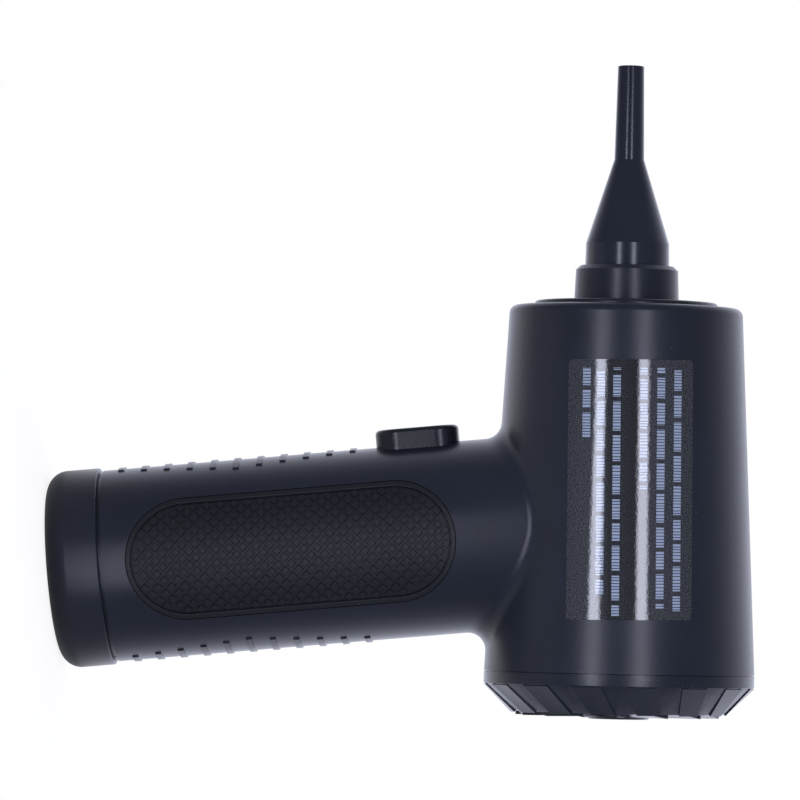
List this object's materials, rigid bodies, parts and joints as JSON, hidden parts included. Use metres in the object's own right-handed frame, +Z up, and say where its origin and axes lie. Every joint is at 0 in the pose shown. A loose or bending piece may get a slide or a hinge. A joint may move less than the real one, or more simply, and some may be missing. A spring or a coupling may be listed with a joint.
{
  "type": "car dryer blower",
  "caption": "Cordless hand-held air blower with a pitched fan barrel, a push-in nozzle, a twist-off intake cover and a straight grip that it stands on.",
  "frame": {"origin": "centre of the flat base under the grip, in the middle of the charging port's mouth", "axes": "+Z up the grip's axis, +X to the nozzle and the button, +Y to the user's left; the barrel's axis lies in the XZ plane and rises 5.9 degrees towards the nozzle"},
  "size_m": [0.1598, 0.0654, 0.1718],
  "materials": {
    "body_abs": "satin",
    "cover_abs": "satin",
    "button_abs": "matte",
    "nozzle_plastic": "satin",
    "seal_rubber": "matte",
    "grip_rubber": "matte",
    "label_film": "gloss",
    "screw_steel": "satin",
    "socket_steel": "satin",
    "black_resin": "satin",
    "circuit_board": "satin",
    "light_resin": "satin",
    "light_pipe": "gloss",
    "wire_black": "satin",
    "wire_red": "satin",
    "wire_blue": "satin",
    "inner_plastic": "satin",
    "nickel": "satin",
    "capacitor_can": "satin",
    "pin_brass": "gloss",
    "impeller_alloy": "satin",
    "shaft_steel": "polished",
    "magnet": "satin",
    "stator_steel": "satin",
    "winding_copper": "gloss",
    "motor_alloy": "satin",
    "cell_wrap": "satin",
    "mesh_steel": "satin",
    "filter_foam": "matte"
  },
  "bodies": {
    "housing": {"battery_cell_1": "cell_wrap", "battery_cell_2": "cell_wrap", "battery_cell_3": "cell_wrap", "battery_holder_lower": "inner_plastic", "battery_holder_upper": "inner_plastic", "battery_lead_negative": "wire_black", "battery_lead_positive": "wire_red", "bayonet_ring": "inner_plastic", "board_header": "pin_brass", "bus_capacitor": "capacitor_can", "charge_board": "circuit_board", "charge_leads": "wire_black", "charge_led": "light_resin", "control_board": "circuit_board", "diffuser": "inner_plastic", "driver_chips": "black_resin", "end_cap": "body_abs", "end_cap_screws": "screw_steel", "fan_shroud": "inner_plastic", "front_bearing": "shaft_steel", "front_gasket": "seal_rubber", "grip_pad_left": "grip_rubber", "grip_pad_right": "grip_rubber", "label_film": "label_film", "left_shell": "body_abs", "light_pipe": "light_pipe", "motor_dampers": "seal_rubber", "motor_end_bell": "motor_alloy", "motor_housing": "motor_alloy", "motor_leads": "wire_blue", "motor_screws": "screw_steel", "motor_stator": "stator_steel", "motor_windings": "winding_copper", "nickel_strip_lower": "nickel", "nickel_strip_upper": "nickel", "outlet_collar": "body_abs", "outlet_cone": "inner_plastic", "rear_bearing": "shaft_steel", "rear_gasket": "seal_rubber", "right_shell": "body_abs", "shell_screws": "screw_steel", "switch_board": "circuit_board", "tact_switch": "black_resin", "usb_insert": "black_resin", "usb_socket": "socket_steel"},
    "rotor": {"impeller": "impeller_alloy", "impeller_nut": "screw_steel", "motor_shaft": "shaft_steel", "motor_rotor": "magnet"},
    "button": {"power_button": "button_abs", "switch_plunger": "black_resin"},
    "push_nozzle": {"nozzle": "nozzle_plastic", "nozzle_seal": "seal_rubber"},
    "cover": {"intake_cover": "cover_abs", "filter_mesh": "mesh_steel", "filter_foam": "filter_foam", "filter_frame": "inner_plastic"}
  },
  "joints": [
    {"name": "rotor_spin", "type": "hinge", "parent": "housing", "child": "rotor", "pos_m": [0, 0, 0.13845], "axis": [0.9947, 0, 0.1028], "continuous": true},
    {"name": "button_press", "type": "slide", "parent": "housing", "child": "button", "axis": [-1, 0, 0], "range_m": [0, 0.0008], "stiffness_N_per_m": 1500},
    {"name": "nozzle_pull", "type": "slide", "parent": "housing", "child": "push_nozzle", "axis": [0.9947, 0, 0.1028], "range_m": [0, 0.02]},
    {"name": "cover_twist", "type": "hinge", "parent": "housing", "child": "cover", "pos_m": [0, 0, 0.13845], "axis": [0.9947, 0, 0.1028], "range_deg": [0, 20]}
  ]
}
